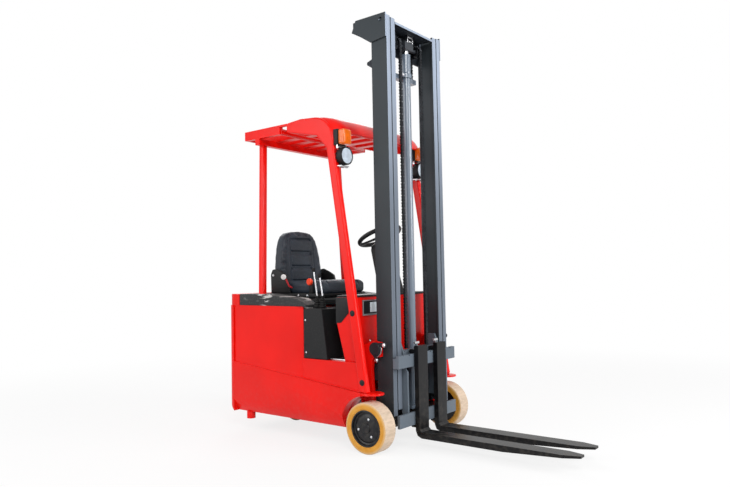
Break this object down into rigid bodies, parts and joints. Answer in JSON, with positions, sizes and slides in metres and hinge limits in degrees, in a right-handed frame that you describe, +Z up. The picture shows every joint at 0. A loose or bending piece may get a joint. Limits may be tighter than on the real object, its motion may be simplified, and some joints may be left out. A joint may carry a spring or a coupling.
{
  "type": "three-wheel electric forklift",
  "caption": "Three-wheel counterbalance forklift with an electric drive, a two-stage tilting mast, fork carriage, overhead guard and a seat on the battery hood.",
  "frame": {"origin": "on the ground, in the middle of the truck's length and width", "axes": "+X forward towards the fork tips, +Y left, +Z up"},
  "size_m": [2.253, 0.908, 2.53],
  "materials": {
    "red_paint": "semi-gloss red enamel",
    "black_paint": "satin black enamel",
    "mast_paint": "satin black, oiled",
    "fork_paint": "black, worn to steel at the tips",
    "black_plastic": "grained black plastic",
    "black_rubber": "ribbed rubber",
    "battery_grey": "steel battery tray",
    "drive_grey": "painted gear housing",
    "bare_steel": "turned steel",
    "chrome_rod": "hard chrome",
    "chain_steel": "oiled leaf chain",
    "tyre_rubber": "cushion tyre, non-marking",
    "drive_rubber": "polyurethane drive tyre",
    "rim_black": "black enamelled casting",
    "seat_vinyl": "black vinyl",
    "lamp_glass": "clear ribbed glass",
    "amber_lens": "amber lens"
  },
  "bodies": {
    "chassis": {"chassis_frame": "red_paint", "side_panel_left": "red_paint", "side_panel_right": "red_paint", "counterweight": "red_paint", "rear_feet": "red_paint", "battery_block": "battery_grey", "hood_side_covers": "black_plastic", "seat_base_panel": "black_plastic", "control_levers": "black_plastic", "pedals": "black_rubber", "front_cowl": "red_paint", "cowl_top_pad": "black_plastic", "display_frame": "black_plastic", "steering_column": "black_plastic", "guard_front_sides": "red_paint", "guard_front_roof": "red_paint", "guard_rear_roof": "red_paint", "guard_rear_legs": "red_paint", "lamp_housings": "black_plastic", "lamp_lenses": "lamp_glass", "indicator_lenses": "amber_lens", "front_fenders": "red_paint", "front_axle": "black_paint", "trunnion_bearings": "red_paint"},
    "hood": {"hood": "black_paint", "seat_mount": "black_paint", "seat_cushion": "seat_vinyl", "seat_back": "seat_vinyl"},
    "drive_unit": {"drive_unit": "drive_grey"},
    "drive_wheel": {"drive_tyre": "drive_rubber", "drive_hub": "rim_black"},
    "front_wheel_left": {"front_tyre_left": "tyre_rubber", "front_rim_left": "rim_black"},
    "front_wheel_right": {"front_tyre_right": "tyre_rubber", "front_rim_right": "rim_black"},
    "steering_wheel": {"steering_wheel": "black_plastic"},
    "mast_outer": {"mast_outer_rails": "mast_paint", "mast_outer_ties": "mast_paint", "mast_head_plates": "mast_paint", "mast_pivot_pins": "bare_steel", "outer_rollers": "bare_steel", "lift_cylinder": "mast_paint"},
    "mast_inner": {"mast_inner_rails": "mast_paint", "mast_inner_ties": "mast_paint", "inner_rollers": "bare_steel", "lift_rod": "chrome_rod", "chain_sheaves": "bare_steel", "lift_chains": "chain_steel", "lift_chain_ends": "chain_steel"},
    "carriage": {"carriage_bars": "mast_paint", "carriage_sides": "mast_paint", "carriage_rollers": "bare_steel"},
    "fork_left": {"fork_left": "fork_paint", "fork_pin_left": "bare_steel"},
    "fork_right": {"fork_right": "fork_paint", "fork_pin_right": "bare_steel"},
    "tilt_barrels": {"tilt_barrels": "mast_paint"},
    "tilt_rods": {"tilt_rods": "chrome_rod"}
  },
  "joints": [
    {"name": "front_wheel_left_spin", "type": "hinge", "parent": "chassis", "child": "front_wheel_left", "pos_m": [0.0335, 0.404, 0.1425], "axis": [0, 1, 0], "continuous": true},
    {"name": "front_wheel_right_spin", "type": "hinge", "parent": "chassis", "child": "front_wheel_right", "pos_m": [0.0335, -0.404, 0.1425], "axis": [0, 1, 0], "continuous": true},
    {"name": "drive_steer", "type": "hinge", "parent": "chassis", "child": "drive_unit", "pos_m": [-0.9165, 0, 0.43], "axis": [0, 0, 1], "range_deg": [-90, 90]},
    {"name": "drive_wheel_spin", "type": "hinge", "parent": "drive_unit", "child": "drive_wheel", "pos_m": [-0.9165, 0, 0.125], "axis": [0, 1, 0], "continuous": true},
    {"name": "steering_wheel_turn", "type": "hinge", "parent": "chassis", "child": "steering_wheel", "pos_m": [-0.2145, 0.05, 1.222], "axis": [-0.3256, 0, 0.9455], "range_deg": [-540, 540]},
    {"name": "hood_open", "type": "hinge", "parent": "chassis", "child": "hood", "pos_m": [-1.0045, 0, 0.866], "axis": [0, -1, 0], "range_deg": [0, 60]},
    {"name": "mast_tilt", "type": "hinge", "parent": "chassis", "child": "mast_outer", "pos_m": [0.0075, 0, 0.571], "axis": [0, 1, 0], "range_deg": [-5, 3]},
    {"name": "mast_lift", "type": "slide", "parent": "mast_outer", "child": "mast_inner", "axis": [0, 0, 1], "range_m": [-0.025, 1.7], "deforming": ["lift_chain_ends"]},
    {"name": "carriage_lift", "type": "slide", "parent": "mast_inner", "child": "carriage", "axis": [0, 0, 1], "range_m": [-0.025, 1.7], "deforming": ["lift_chains"]},
    {"name": "fork_left_shift", "type": "slide", "parent": "carriage", "child": "fork_left", "axis": [0, 1, 0], "range_m": [-0.045, 0.15]},
    {"name": "fork_right_shift", "type": "slide", "parent": "carriage", "child": "fork_right", "axis": [0, -1, 0], "range_m": [-0.045, 0.15]},
    {"name": "tilt_barrel_swing", "type": "hinge", "parent": "chassis", "child": "tilt_barrels", "pos_m": [-0.3665, 0, 0.25], "axis": [0, 1, 0], "range_deg": [-1.5, 1.5]},
    {"name": "tilt_rod_stroke", "type": "slide", "parent": "tilt_barrels", "child": "tilt_rods", "axis": [1, 0, 0], "range_m": [-0.025, 0.04]}
  ],
  "couplings": [
    {"joint": "carriage_lift", "follows": "mast_lift", "ratio": 1},
    {"joint": "steering_wheel_turn", "follows": "drive_steer", "ratio": -6},
    {"joint": "tilt_barrel_swing", "follows": "mast_tilt", "ratio": -0.125},
    {"joint": "tilt_rod_stroke", "follows": "mast_tilt", "m_per_rad": -0.321}
  ]
}
